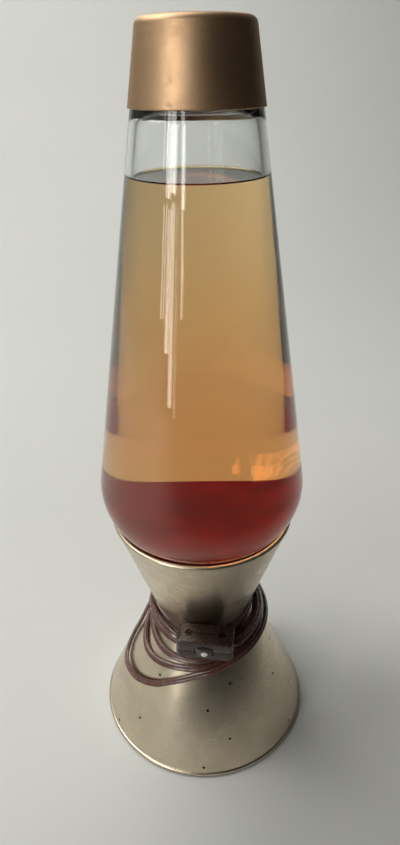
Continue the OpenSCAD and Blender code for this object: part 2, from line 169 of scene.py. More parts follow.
def polar(angle, radius, height):
    """The point at that angle in degrees, radius and height."""
    a = radians(angle)
    return np.array((radius * cos(a), radius * sin(a), height))


def arc(x, z, r, start, end, steps=8):
    """(radius, height) points of an arc about (x, z), from angle start to end in radians."""
    turns = [start + (end - start) * i / steps for i in range(steps + 1)]
    return [(x + r * cos(a), z + r * sin(a)) for a in turns]


def straight(p, q, steps):
    """(radius, height) points from p to q, without q."""
    return [(p[0] + (q[0] - p[0]) * i / steps, p[1] + (q[1] - p[1]) * i / steps) for i in range(steps)]


def rounded(corners, steps=5):
    """The closed outline through corners, where each (radius, height, fillet) is rounded off."""
    points = []
    for i, (x, z, fillet) in enumerate(corners):
        if fillet == 0:
            points.append((x, z))
            continue
        here = Vector((x, z))
        back = (Vector(corners[i - 1][:2]) - here).normalized()
        ahead = (Vector(corners[(i + 1) % len(corners)][:2]) - here).normalized()
        half = back.angle(ahead) / 2
        centre = here + (back + ahead).normalized() * fillet / sin(half)
        start = here + back * fillet / tan(half) - centre
        end = here + ahead * fillet / tan(half) - centre
        a = atan2(start.y, start.x)
        turn = (atan2(end.y, end.x) - a + pi) % (2 * pi) - pi
        points += arc(centre.x, centre.y, fillet, a, a + turn, steps)
    return points


def mesh_of(bm):
    """A new mesh made of bm, which is used up."""
    mesh = bpy.data.meshes.new("mesh")
    bm.to_mesh(mesh)
    bm.free()
    return mesh


def smoothed(mesh, sharp):
    """The mesh with smooth shading; edges over that many degrees stay sharp."""
    mesh.shade_smooth()
    mesh.set_sharp_from_angle(angle=radians(sharp))
    return mesh


def finished_mesh(vertices, faces, sharp=40):
    """A smooth-shaded mesh of those faces, with doubled points merged."""
    mesh = bpy.data.meshes.new("mesh")
    mesh.from_pydata([tuple(v) for v in vertices], [], faces)
    bm = bmesh.new()
    bm.from_mesh(mesh)
    bmesh.ops.remove_doubles(bm, verts=bm.verts, dist=1e-7)
    bmesh.ops.recalc_face_normals(bm, faces=bm.faces)
    return smoothed(mesh_of(bm), sharp)


def tube_faces(rings, count):
    """The quads between rings of count points, then a face over each end."""
    faces = []
    for i in range(rings - 1):
        for k in range(count):
            a, b = i * count + k, i * count + (k + 1) % count
            faces.append((a, b, b + count, a + count))
    last = (rings - 1) * count
    return [*faces, tuple(range(count)), tuple(range(last, last + count))]


def lathe(outline, segments=256, shape=None, sharp=40):
    """A solid of revolution of (radius, height) points; shape(r, z, angle) is added to a radius."""
    vertices, rings = [], []
    for r, z in outline:
        if r < 1e-9:
            rings.append([len(vertices)] * segments)
            vertices.append((0, 0, z))
            continue
        rings.append(list(range(len(vertices), len(vertices) + segments)))
        for k in range(segments):
            a = 2 * pi * k / segments
            out = r + (shape(r, z, a) if shape else 0)
            vertices.append((out * cos(a), out * sin(a), z))
    on_axis = [r < 1e-9 for r, _ in outline]
    faces = []
    for i, low in enumerate(rings):
        j = (i + 1) % len(rings)
        if on_axis[i] and on_axis[j]:
            continue
        high = rings[j]
        for k in range(segments):
            n = (k + 1) % segments
            faces.append(tuple(dict.fromkeys((low[k], low[n], high[n], high[k]))))
    return finished_mesh(vertices, faces, sharp)


def sweep(line, guides, section):
    """A closed tube of that section along line. The section's second axis faces the guides' side."""
    vertices = []
    for p, t, guide in zip(line, np.gradient(line, axis=0), guides):
        t = t / np.linalg.norm(t)
        up = guide - t * (guide @ t)
        up = up / np.linalg.norm(up)
        across = np.cross(t, up)
        vertices += [p + across * a + up * b for a, b in section]
    return finished_mesh(vertices, tube_faces(len(line), len(section)), 50)


def box_mesh(size, corner, edge, corner_steps, edge_steps):
    """A block centred on the origin with rounded upright corners and softened edges."""
    bm = bmesh.new()
    bmesh.ops.create_cube(bm, size=1)
    bmesh.ops.scale(bm, vec=size, verts=bm.verts)
    upright = [e for e in bm.edges if abs(e.verts[0].co.z - e.verts[1].co.z) > size[2] / 2]
    bmesh.ops.bevel(bm, geom=upright, offset=corner, segments=corner_steps, profile=0.5, affect="EDGES")
    rims = [e for e in bm.edges if abs(e.verts[0].co.z - e.verts[1].co.z) < 1e-7
            and abs(abs(e.verts[0].co.z) - size[2] / 2) < 1e-7 and len(e.link_faces) == 2
            and abs(e.link_faces[0].normal.z - e.link_faces[1].normal.z) > 0.5]
    bmesh.ops.bevel(bm, geom=rims, offset=edge, segments=edge_steps, profile=0.5, affect="EDGES")
    return mesh_of(bm)


def cylinder_mesh(radius, length, place, segments):
    """An upright cylinder, centred and then placed."""
    bm = bmesh.new()
    bmesh.ops.create_cone(bm, cap_ends=True, segments=segments, radius1=radius, radius2=radius,
                          depth=length, matrix=place)
    return mesh_of(bm)


def joined(parts):
    """All the parts as one mesh."""
    bm = bmesh.new()
    for part in parts:
        bm.from_mesh(part)
    return mesh_of(bm)


def superellipse(wide, deep, power, count=48):
    """The outline of half widths wide and deep: an oval at power 2, and squarer above."""
    points = []
    for i in range(count):
        a = 2 * pi * i / count
        c, s = cos(a), sin(a)
        points.append((wide * copysign(abs(c) ** (2 / power), c),
                       deep * copysign(abs(s) ** (2 / power), s)))
    return points


def prism(outline, height, place):
    """An upright block of that outline, centred and then placed."""
    count = len(outline)
    vertices = [(x, y, z) for z in (-height / 2, height / 2) for x, y in outline]
    faces = tube_faces(2, count)
    faces[-2] = faces[-2][::-1]      # the lower face looks down
    mesh = bpy.data.meshes.new("mesh")
    mesh.from_pydata(vertices, [], faces)
    mesh.transform(place)
    return mesh


def cut(mesh, tools, sharp=35):
    """mesh less all the tools, as a new mesh."""
    body = new_object("cut_body", mesh)
    helpers = [new_object("cut_tool", tool) for tool in tools]
    for helper in helpers:
        modifier = body.modifiers.new("cut", "BOOLEAN")
        modifier.object = helper
        modifier.operation = "DIFFERENCE"
        modifier.solver = "EXACT"
    bpy.context.view_layer.update()
    made = bpy.data.meshes.new_from_object(body.evaluated_get(bpy.context.evaluated_depsgraph_get()))
    for helper in (body, *helpers):
        bpy.data.objects.remove(helper)
    return smoothed(made, sharp)


def piece(name, mesh, body, slot, material, *nodes):
    """A finished piece that rides on body and stands for nodes."""
    o = new_object(name, mesh)
    mesh.name = name
    mesh.materials.clear()
    mesh.materials.append(material)
    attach(o, body)
    if nodes:
        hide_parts(*nodes)
    return o


# ---- materials ----
class Nodes:
    """The nodes of a material or of the world."""

    def __init__(self, owner):
        owner.use_nodes = True
        self.tree = owner.node_tree

    def node(self, kind, inputs=None, **settings):
        """A new shader node; each of its inputs is linked to a socket or set to a value."""
        made = self.tree.nodes.new("ShaderNode" + kind)
        for key, value in settings.items():
            setattr(made, key, value)
        for key, value in (inputs or {}).items():
            if isinstance(value, bpy.types.NodeSocket):
                self.tree.links.new(value, made.inputs[key])
            else:
                made.inputs[key].default_value = value
        return made

    def math(self, operation, a, b=0.0):
        return self.node("Math", {0: a, 1: b}, operation=operation).outputs[0]

    def fade(self, value, low, high, start=0.0, end=1.0):
        """value, mapped smoothly from low..high to start..end."""
        inputs = {"Value": value, "From Min": low, "From Max": high, "To Min": start, "To Max": end}
        return self.node("MapRange", inputs, interpolation_type="SMOOTHSTEP").outputs["Result"]


class Finish(Nodes):
    """A Principled material and the texture nodes that drive it."""

    def __init__(self, name, **values):
        self.material = bpy.data.materials.new(name)
        super().__init__(self.material)
        self.shader = self.tree.nodes["Principled BSDF"]
        for socket, value in values.items():
            self.shader.inputs[socket.replace("_", " ")].default_value = value
        self.place = self.node("TexCoord").outputs["Object"]

    def noise(self, scale, detail=3.0, roughness=0.55, at=None):
        """Cloudy noise, 0 to 1, with scale features to the metre."""
        inputs = {"Vector": at or self.place, "Scale": scale, "Detail": detail, "Roughness": roughness}
        return self.node("TexNoise", inputs).outputs["Fac"]

    def mix(self, factor, a, b):
        """Colour a, or b where factor is 1."""
        made = self.node("Mix", data_type="RGBA")
        for key, value in ((0, factor), (6, a), (7, b)):
            if isinstance(value, bpy.types.NodeSocket):
                self.tree.links.new(value, made.inputs[key])
            else:
                made.inputs[key].default_value = (*value, 1) if key else value
        return made.outputs[2]

    def around(self, round_scale, height_scale):
        """Coordinates that run round the lamp's axis and along it, without a seam."""
        split = self.node("SeparateXYZ", {0: self.place})
        flat = self.node("CombineXYZ", {0: split.outputs[0], 1: split.outputs[1]}).outputs[0]
        unit = self.node("VectorMath", {0: flat}, operation="NORMALIZE").outputs[0]
        wide = self.node("VectorMath", {0: unit, "Scale": round_scale}, operation="SCALE")
        tall = self.node("CombineXYZ", {2: self.math("MULTIPLY", split.outputs[2], height_scale)})
        return self.node("VectorMath", {0: wide.outputs[0], 1: tall.outputs[0]}).outputs[0]

    def feed(self, socket, value):
        self.tree.links.new(value, self.shader.inputs[socket])

    def tones(self, value, low, high, first, second):
        """Base colour from first to second as value goes from low to high."""
        self.feed("Base Color", self.mix(self.fade(value, low, high), first, second))

    def satin(self, value, smooth, rough):
        """Roughness from smooth to rough with a noise value."""
        self.feed("Roughness", self.fade(value, 0.3, 0.7, smooth, rough))

    def relief(self, height, distance, strength, under=None):
        """Feeds a bump of that distance in metres, on top of an earlier one."""
        inputs = {"Height": height, "Distance": distance, "Strength": strength}
        if under:
            inputs["Normal"] = under
        bumped = self.node("Bump", inputs).outputs["Normal"]
        self.feed("Normal", bumped)
        return bumped


def spun_metal(name, light, dark, roughness):
    """Satin metal turned on a lathe: fine rings, cloudy tarnish and small specks."""
    f = Finish(name, Metallic=1.0, Anisotropic=0.25)
    f.feed("Tangent", f.node("Tangent", direction_type="RADIAL", axis="Z").outputs[0])
    cloud = f.noise(32, 5, 0.6)
    blotch = f.noise(160, 4, 0.65)
    tarnish = f.math("ADD", f.math("MULTIPLY", cloud, 0.65), f.math("MULTIPLY", blotch, 0.35))
    colour = f.mix(f.fade(tarnish, 0.38, 0.66), light, dark)
    speck = f.fade(f.noise(1100, 2, 0.5), 0.70, 0.76)
    colour = f.mix(f.math("MULTIPLY", speck, 0.10), colour, (0.20, 0.15, 0.10))
    f.feed("Base Color", colour)
    rings = f.noise(1.0, 2, 0.5, f.around(2.5, 1500))
    satin = f.math("ADD", f.fade(tarnish, 0.35, 0.7, roughness - 0.03, roughness + 0.06),
                   f.fade(rings, 0.3, 0.7, -0.015, 0.015))
    f.feed("Roughness", satin)
    soft = f.relief(f.noise(55, 3, 0.5), 0.0006, 0.1)
    f.relief(rings, 0.00003, 0.08, soft)
    return f.material


def plain_metal(name, colour, worn, roughness):
    """Machined or stamped metal with light smears."""
    f = Finish(name, Metallic=1.0)
    smear = f.noise(420, 4, 0.6)
    f.tones(smear, 0.35, 0.7, colour, worn)
    f.satin(smear, roughness - 0.07, roughness + 0.1)
    f.relief(f.noise(1680, 2, 0.5), 0.00003, 0.4)
    return f.material


def moulded(name, colour, worn, roughness):
    """Moulded plastic with a faint grain."""
    f = Finish(name, Coat_Weight=0.3, Coat_Roughness=0.08)
    cloud = f.noise(140, 4, 0.6)
    f.tones(cloud, 0.35, 0.7, colour, worn)
    f.satin(f.noise(600, 3, 0.6), roughness - 0.06, roughness + 0.08)
    f.relief(f.noise(1400, 2, 0.5), 0.00002, 0.03)
    return f.material


def cord_plastic():
    """Glossy brown flex with dust in patches."""
    f = Finish("cord_plastic", Coat_Weight=0.5, Coat_Roughness=0.12)
    cloud = f.noise(90, 4, 0.6)
    colour = f.mix(f.fade(cloud, 0.35, 0.7), (0.078, 0.027, 0.019), (0.115, 0.045, 0.032))
    dust = f.fade(f.noise(700, 4, 0.7), 0.58, 0.75)
    f.feed("Base Color", f.mix(f.math("MULTIPLY", dust, 0.25), colour, (0.22, 0.16, 0.13)))
    f.satin(f.noise(420, 3, 0.6), 0.22, 0.36)
    f.relief(f.noise(500, 2, 0.5), 0.00006, 0.1)
    return f.material


def clear_glass():
    """Thick clear glass with the faint waviness of a blown bottle."""
    f = Finish("clear_glass", Base_Color=(0.97, 0.99, 0.98, 1), Roughness=0.0, IOR=1.5,
               Transmission_Weight=1.0)
    wave = f.relief(f.noise(24, 2, 0.4), 0.0004, 0.12)
    f.relief(f.noise(1.0, 2, 0.4, f.around(14, 4)), 0.0005, 0.05, wave)
    return f.material


def amber_liquid():
    """The liquid: pale at the surface, where it is shallow, and amber lower down."""
    f = Finish("amber_liquid", Roughness=0.0, IOR=1.33, Transmission_Weight=1.0)
    height = f.node("SeparateXYZ", {0: f.place}).outputs[2]
    haze = f.math("ADD", height, f.math("MULTIPLY", f.noise(14, 3, 0.5), 0.02))
    f.tones(haze, 0.20, 0.40, (0.97, 0.66, 0.36), (0.93, 0.80, 0.55))
    soak = f.node("VolumeAbsorption", {"Color": (0.93, 0.58, 0.17, 1), "Density": 11.0})
    f.tree.links.new(soak.outputs[0], f.tree.nodes["Material Output"].inputs["Volume"])
    return f.material


def red_wax():
    """Cold wax: deep red and a little cloudy, smooth where it set against the glass."""
    f = Finish("red_wax", Subsurface_Weight=0.12, Subsurface_Scale=0.002,
               Subsurface_Radius=(1.0, 0.08, 0.05), Specular_IOR_Level=0.02)
    cloud = f.noise(30, 4, 0.6)
    colour = f.mix(f.fade(cloud, 0.34, 0.70), (0.064, 0.0004, 0.0027), (0.108, 0.0010, 0.0040))
    vein = f.fade(f.noise(110, 5, 0.7), 0.60, 0.72)
    f.feed("Base Color", f.mix(f.math("MULTIPLY", vein, 0.35), colour, (0.22, 0.006, 0.006)))
    f.satin(cloud, 0.28, 0.42)
    f.relief(f.noise(38, 3, 0.5), 0.0008, 0.2)
    return f.material


def felt():
    f = Finish("green_felt", Roughness=0.95, Sheen_Weight=0.4, Sheen_Roughness=0.5)
    fuzz = f.noise(2200, 4, 0.7)
    f.tones(fuzz, 0.3, 0.7, (0.012, 0.020, 0.014), (0.045, 0.060, 0.045))
    f.relief(fuzz, 0.0003, 0.8)
    return f.material


def fibreboard():
    f = Finish("fibreboard")
    flake = f.noise(500, 5, 0.7)
    f.tones(flake, 0.3, 0.7, (0.13, 0.075, 0.040), (0.26, 0.165, 0.095))
    f.satin(flake, 0.65, 0.85)
    f.relief(flake, 0.00015, 0.5)
    return f.material


def porcelain():
    f = Finish("porcelain", Coat_Weight=0.6, Coat_Roughness=0.08)
    cloud = f.noise(220, 4, 0.6)
    f.tones(cloud, 0.35, 0.7, (0.72, 0.69, 0.61), (0.80, 0.77, 0.70))
    f.satin(cloud, 0.22, 0.36)
    f.relief(f.noise(700, 3, 0.6), 0.00006, 0.4)
    return f.material


def milky(name, grain, dull, pale, smooth, rough, **values):
    """A pale surface, clouded at that grain: the bulb's inside frosting and the crown's liner."""
    f = Finish(name, **values)
    cloud = f.noise(grain, 3, 0.6)
    f.tones(cloud, 0.3, 0.7, dull, pale)
    f.satin(cloud, smooth, rough)
    return f.material


def inner_glass():
    f = Finish("stem_glass", Base_Color=(0.9, 0.95, 0.93, 1), IOR=1.5, Transmission_Weight=0.85)
    f.satin(f.noise(400), 0.02, 0.12)
    return f.material


def paint(name, colour, chipped):
    f = Finish(name)
    wear = f.fade(f.noise(2600, 4, 0.7), 0.60, 0.68)
    f.feed("Base Color", f.mix(wear, colour, chipped))
    f.feed("Roughness", f.fade(wear, 0.0, 1.0, 0.42, 0.6))
    return f.material


# ---- the cord ----
CORD_WIDE = 0.0043
CORD_THICK = 0.0022
CORD_STEP = 0.0012
LEAN = radians(30)      # how far the flat side of the cord leans back, as the cone does
# Inside the base: from the lampholder down and back to the bushing
INNER_ROUTE = [(0, 0, 50), (0, 1, 38), (0, 6, 26), (0, 18, 15), (0, 34, 10), (0, 50, 13), (0, 62, 18.5),
               (0, 72, 22.5)]
# From inside the bushing up the back and into the winding
RISE_ROUTE = [(0, 72, 22.5), (0, 84, 27.5), (0, 91, 31), (-1, 96, 37), (-2, 97, 46), (-4, 93, 56),
              (-8, 83, 66), (-13, 70, 75), (-18, 57, 83), (-23, 45, 88), (-28, 34, 91)]
# The loose loop: out of the winding at the left, down the cone and back across the front
LOOP_ROUTE = [(-33, 18, 86), (-37, 10, 83), (-41, 5, 76.5), (-45.5, 3, 67), (-50.6, 2, 57), (-54, -1, 50),
              (-56, -7, 46), (-55.3, -15, 45), (-52, -22.5, 45.6), (-47, -30, 47.5), (-40.5, -36, 50.5),
              (-32.3, -41, 54.5), (-22, -43.8, 60), (-12, -45, 64.5), (-2, -45.5, 68.5), (8, -45, 71.5),
              (16, -43, 74)]
# From the winding to the plug
TAIL_ROUTE = [(37, 26, 88), (34, 33, 87), (31, 38, 84), (28, 42, 79), (26, 44, 73), (25, 46, 68),
              (25.5, 48, 65)]
# The turns between them: (angle, radius, height) in degrees and millimetres, turn by turn. The first
# turn is in two parts, because the cord runs straight through the switch.
TO_SWITCH = [(155, 36.2, 93.5), (180, 36.2, 94.5), (205, 37.6, 96.5), (230, 40.6, 98.0)]
TURNS = [
    [(301, 49.3, 98.0), (315, 47.0, 97.6), (336, 43.6, 96.5), (360, 41.0, 95.5), (450, 36.5, 95.0)],
    [(180, 37.0, 91.5), (225, 39.4, 88.0), (270, 40.4, 86.0), (300, 41.0, 86.5), (360, 39.8, 91.5),
     (450, 35.5, 97.0)],
    [(180, 34.0, 97.5), (225, 33.6, 94.0), (270, 33.2, 91.5), (360, 35.0, 96.0), (450, 33.8, 92.5)],
    [(180, 34.6, 91.0), (225, 36.0, 86.5), (270, 37.0, 82.0), (300, 37.4, 83.5), (360, 38.0, 90.0),
     (450, 36.2, 88.2)],
    [(180, 36.6, 86.5), (200, 39.4, 79.5), (222, 41.6, 74.6), (248, 42.2, 73.2), (270, 41.4, 75.4),
     (300, 41.0, 79.0), (360, 40.8, 86.8), (450, 38.4, 84.6)],
    [(165, 37.4, 84.5), (182, 39.2, 79.5), (197, 45.4, 67.2), (207, 47.0, 63.6), (218, 46.4, 64.6),
     (234, 44.5, 68.3), (258, 43.4, 70.4), (275, 43.2, 71.6), (300, 43.0, 75.0), (360, 43.4, 83.6),
     (450, 40.2, 80.4), (500, 38.2, 86.5)],
]
# After the loose loop, up the right side to where the tail leaves
TO_TAIL = [(307, 46.0, 77.6), (326, 46.4, 80.6), (346, 46.2, 84.0), (365, 45.9, 86.6), (383, 45.4, 88.0)]
MM = 0.001


def metres(route):
    return [np.array(p, float) * MM for p in route]


def stations(turn):
    return [polar(a, r * MM, z * MM) for a, r, z in turn]


def in_switch(x, z):
    """The cord's point inside the switch, x along it and z above its middle, in the lamp's frame."""
    return np.array(SWITCH_AT + Matrix.Rotation(SWITCH_TURN, 3, "Z") @ Vector((x, SWITCH_CORD_Y, z)))


def winding():
    """The turns from the switch to the loose loop, one point each 15 degrees."""
    steps = [(a + 360 * k, r * MM, z * MM) for k, turn in enumerate(TURNS) for a, r, z in turn]
    a, r, z = np.array(steps).T
    slope_r, slope_z = np.gradient(r, a), np.gradient(z, a)
    points = []
    for angle in np.arange(a[0], a[-1], 15):
        i = max(0, int(np.searchsorted(a, angle, side="right")) - 1)
        h = a[i + 1] - a[i]
        t = (angle - a[i]) / h
        take, lead, trail = t * t * (3 - 2 * t), t * (1 - t) ** 2, t * t * (t - 1)
        keep = 1 - take
        radius = keep * r[i] + take * r[i + 1] + h * (lead * slope_r[i] + trail * slope_r[i + 1])
        height = keep * z[i] + take * z[i + 1] + h * (lead * slope_z[i] + trail * slope_z[i + 1])
        points.append(polar(angle, radius, height))
    return points


def leaning(points):
    """The way each point's flat side faces: outwards from the lamp's axis and up."""
    out = points[:, :2] / np.linalg.norm(points[:, :2], axis=1)[:, None]
    rise = np.full((len(points), 1), sin(LEAN))
    return np.hstack([out * cos(LEAN), rise])


def push_apart(p, first, second):
    """How far each point moves so that turns don't overlap, when the cord is taken as an oval."""
    thick, wide = CORD_THICK + 0.0003, CORD_WIDE + 0.0002
    gap = p[first] - p[second]
    near = np.flatnonzero((gap * gap).sum(1) < wide**2)
    a, b, gap = first[near], second[near], gap[near]
    face = leaning((p[a] + p[b]) / 2)
    over = (gap * face).sum(1)[:, None]
    beside = gap - over * face
    reach = np.sqrt((over[:, 0] / thick) ** 2 + ((beside / wide) ** 2).sum(1))
    hit = reach < 1
    a, b, over, beside, face, reach = (x[hit] for x in (a, b, over, beside, face, reach))
    way = over / thick**2 * face + beside / wide**2
    way /= np.linalg.norm(way, axis=1)[:, None] + 1e-9
    push = way * (0.48 * (1 - reach) * thick)[:, None]
    move, count = np.zeros_like(p), np.zeros(len(p))
    np.add.at(move, a, push)
    np.add.at(move, b, -push)
    np.add.at(count, a, 1)
    np.add.at(count, b, 1)
    return move / np.maximum(count, 1)[:, None]


def off_the_cones(p):
    """What each point's radius is multiplied by, to keep the cord outside the base."""
    r, z = np.hypot(p[:, 0], p[:, 1]), p[:, 2]
    half = CORD_THICK / 2 + 0.00015
    least = np.where(z < WAIST_Z, skirt_r(z) + half / cos(LEAN), upper_r(z) + half)
    least = np.where(abs(z - WAIST_Z) < 0.002, WAIST_R + 0.0019, least)
    return np.maximum(1, least / r)


def settle(points, held, rounds=150, tension=0.25):
    """Pulls the cord tight, and pushes its turns off each other and off the two cones."""
    p = points.copy()
    first, second = np.triu_indices(len(p), 14)
    free = (1 - held)[:, None]
    for _ in range(rounds):
        between = np.zeros_like(p)
        between[1:-1] = (p[:-2] + p[2:]) / 2 - p[1:-1]
        p += tension * between * free + 0.5 * held[:, None] * (points - p)
        p += push_apart(p, first, second) * free
        p[:, :2] *= np.where(held < 0.9, off_the_cones(p), 1)[:, None]
    return p


def near_to(points, route, reach):
    """Which of the points lie within reach of a point of the route."""
    return np.linalg.norm(points[:, None] - np.array(route)[None], axis=2).min(1) < reach


def cord_section(count=20):
    """The flat cord's outline: two round cores side by side with a groove between them."""
    core = CORD_THICK / 2
    shift = CORD_WIDE / 2 - core
    points = []
    for side in (1, -1):
        for i in range(count // 2):
            a = (i / (count // 2 - 1) - 0.5) * radians(250)
            a = a if side > 0 else a + pi
            points.append((side * shift + core * cos(a), core * sin(a)))
    return points


def make_cord(material):
    """The cord outside the base, run through the switch, and the short length inside."""
    # Inside the switch the cord dips under the wheel
    dip = ((0.019, 0.0), (0.0135, 0.0), (0.0078, -0.0042), (0.0, -0.0045))
    through = [in_switch(-x, z) for x, z in dip] + [in_switch(x, z) for x, z in dip[2::-1]]
    loop, rise, tail = metres(LOOP_ROUTE), metres(RISE_ROUTE), metres(TAIL_ROUTE)
    points = [*rise, *stations(TO_SWITCH), *through, *winding(), *loop, *stations(TO_TAIL), *tail]
    line = smooth_line(points, 2 * CORD_STEP)
    held = np.zeros(len(line))
    held[near_to(line, loop[2:12], 0.003)] = 0.6
    for fixed in (rise[:7], smooth_line(through, 0.003), tail[1:]):
        held[near_to(line, fixed, 0.003)] = 1
    line = smooth_line(settle(line, held), CORD_STEP)
    guides = leaning(line)
    flat = np.exp(-(np.linalg.norm(line - np.array(SWITCH_AT), axis=1) / 0.022) ** 4)[:, None]
    guides = guides * (1 - flat) + np.array((0, 0, 1)) * flat
    flex = piece("power_cord", sweep(line, guides, cord_section()), "base", "cord",
                 material, "cord_rise", "cord_loop", "cord_winding", "cord_tail")
    inner = smooth_line(metres(INNER_ROUTE), 2 * CORD_STEP)
    side = np.tile(np.array((1.0, 0.0, 0.0)), (len(inner), 1))
    piece("cord_inside", sweep(inner, np.cross(np.gradient(inner, axis=0), side),
                               cord_section()), "base", "cord", material, "cord_inner")


# ---- base ----
OUTLET = Matrix.Translation((0, skirt_r(OUTLET_Z), OUTLET_Z)) @ Matrix.Rotation(
    OUTLET_TILT - pi / 2, 4, "X")


def fixing_holes():
    """What cuts the four rivet holes in the waist."""
    at = [Matrix.Rotation(a * pi / 2, 4, "Z") @ Matrix.Translation((FIXING_R, 0, WAIST_Z))
          for a in range(4)]
    return [cylinder_mesh(FIXING_HOLE_R, 0.01, place, 24) for place in at]


def lower_cone_mesh():
    steps = 40
    top = WAIST_Z - HALF_GAP
    heights = [SKIRT_LOW_Z + 0.0008 + (top - 0.0012 - SKIRT_LOW_Z) * i / steps for i in range(steps + 1)]
    outer = [(skirt_r(z), z) for z in heights]
    inner = [(skirt_r(z) - BASE_WALL, z) for z in heights]
    waist = rounded([(skirt_r(heights[-1]), heights[-1], 0), (WAIST_R - 0.0001, top, 0.0006),
                     (FLANGE_R, top, 0.0003), (FLANGE_R, top - BASE_WALL, 0.0003),
                     (inner[-1][0], top - BASE_WALL, 0)])[1:-1]
    lip = arc(BASE_R - LIP_R, LIP_Z, LIP_R, radians(130), radians(-215), 24)
    mesh = lathe(outer + waist + inner[::-1][1:] + lip[::-1], 288)
    tools = []
    outwards = Matrix.Rotation(pi / 2 - OUTLET_TILT, 4, "Y")
    for height, first in PINHOLE_RINGS:
        for i in range(PINHOLE_COUNT):
            a = radians(first + i * 360 / PINHOLE_COUNT)
            at = Matrix.Rotation(a, 4, "Z") @ Matrix.Translation((skirt_r(height), 0, height))
            tools.append(cylinder_mesh(PINHOLE_R, 0.006, at @ outwards, 24))
    tools += [*fixing_holes(), cylinder_mesh(OUTLET_R, 0.008, OUTLET, 40)]
    return cut(mesh, [joined(tools)])


def upper_cone_mesh():
    low = WAIST_Z + HALF_GAP
    bead = arc(RIM_X, RIM_Z, RIM_BEAD_R, radians(-60), radians(200), 24)
    corners = rounded([(FLANGE_R, low, 0.0003), (WAIST_R, low, 0.0006), (*bead[0], 0), (*bead[-1], 0),
                       (WAIST_R - BASE_WALL, low + BASE_WALL, 0.0005), (FLANGE_R, low + BASE_WALL, 0.0003)])
    # Each rounded corner is 6 points; the bead's two ends stand between the outer and the inner ones
    outer, inner = corners[:12], corners[14:]
    outside = straight(outer[-1], bead[0], 40)
    inside = straight(bead[-1], inner[0], 40)
    mesh = lathe(outer[:-1] + outside + bead + inside[1:] + inner, 288)
    return cut(mesh, [joined(fixing_holes())])


# ---- globe ----
UP_A = atan(UPPER_TAPER)
LOW_A = atan(LOWER_TAPER)


def globe_side(z, off=0.0):
    """Radius of the globe's profile, moved inwards by off, at height z."""
    r = GLOBE_ROUND - off
    centre = GLOBE_R - GLOBE_ROUND
    if z > GLOBE_Z + r * sin(UP_A):
        return centre + r * cos(UP_A) - UPPER_TAPER * (z - GLOBE_Z - r * sin(UP_A))
    if z < GLOBE_Z - r * sin(LOW_A):
        return centre + r * cos(LOW_A) - LOWER_TAPER * (GLOBE_Z - r * sin(LOW_A) - z)
    return centre + sqrt(r * r - (z - GLOBE_Z) ** 2)


HEEL_X = globe_side(FOOT_Z + HEEL_R) - HEEL_R / cos(LOW_A)


def shoulder(off, r):
    """The shoulder's arc, of radius r, on the side moved inwards by off."""
    z = SHOULDER_Z - off - r
    return arc(globe_side(z, off) - r / cos(UP_A), z, r, UP_A, pi / 2, 16)


def globe_outline(off, turn_r):
    """The globe's side from the heel to the shoulder, moved inwards by off."""
    heel = arc(HEEL_X, FOOT_Z + HEEL_R, HEEL_R - off, -pi / 2, -LOW_A, 10)
    belly = arc(GLOBE_R - GLOBE_ROUND, GLOBE_Z, GLOBE_ROUND - off, -LOW_A, UP_A, 40)
    turn = shoulder(off, turn_r)
    return heel + straight(heel[-1], belly[0], 12)[1:] + belly + straight(belly[-1], turn[0], 48)[1:] + turn


def globe_mesh():
    foot = rounded([(0, FOOT_Z + 0.0015, 0), (0.026, FOOT_Z + 0.0015, 0.001), (0.0295, FOOT_Z, 0.001),
                    (HEEL_X, FOOT_Z, 0)])[:-1]
    outside = globe_outline(0, SHOULDER_R)
    inside = globe_outline(GLOBE_WALL, SHOULDER_IN_R)[::-1]
    neck = rounded([(*outside[-1], 0), (NECK_R, SHOULDER_Z, 0.0012), (NECK_R, MOUTH_Z - 0.0045, 0.0006),
                    (MOUTH_R, MOUTH_Z - 0.0038, 0.0004), (MOUTH_R, MOUTH_Z, 0.001),
                    (BORE_R, MOUTH_Z, 0.0006), (BORE_R, SHOULDER_Z - GLOBE_WALL, 0.001),
                    (*inside[0], 0)])[1:-1]
    floor = rounded([(HEEL_X, FOOT_Z + GLOBE_WALL, 0), (0.026, FOOT_Z + GLOBE_WALL + 0.001, 0.002),
                     (0, FOOT_Z + GLOBE_WALL + 0.001, 0)])[1:]
    return lathe(foot + outside + neck + inside + floor, 288)


INTO_GLASS = 0.0003      # how far the liquid reaches into the wall, so that light bends only once there


def side_between(z0, z1, off, steps):
    heights = [z0 + (z1 - z0) * i / steps for i in range(steps + 1)]
    return [(globe_side(z, off), z) for z in heights]


def liquid_mesh():
    off = GLOBE_WALL - INTO_GLASS
    under = WAX_Z - 0.002
    creep = 0.0012
    side = side_between(under, LIQUID_Z, off, 80)
    rim = side[-1][0]
    meniscus = [(rim - creep * t, LIQUID_Z - creep * 0.8 * (1 - (1 - t) ** 2))
                for t in (0.25, 0.5, 0.75, 1)]
    top = [(rim - 0.004, LIQUID_Z - creep * 0.95), (0, LIQUID_Z - creep * 0.95)]
    return lathe([(0, under)] + side + meniscus + top, 256, sharp=60)


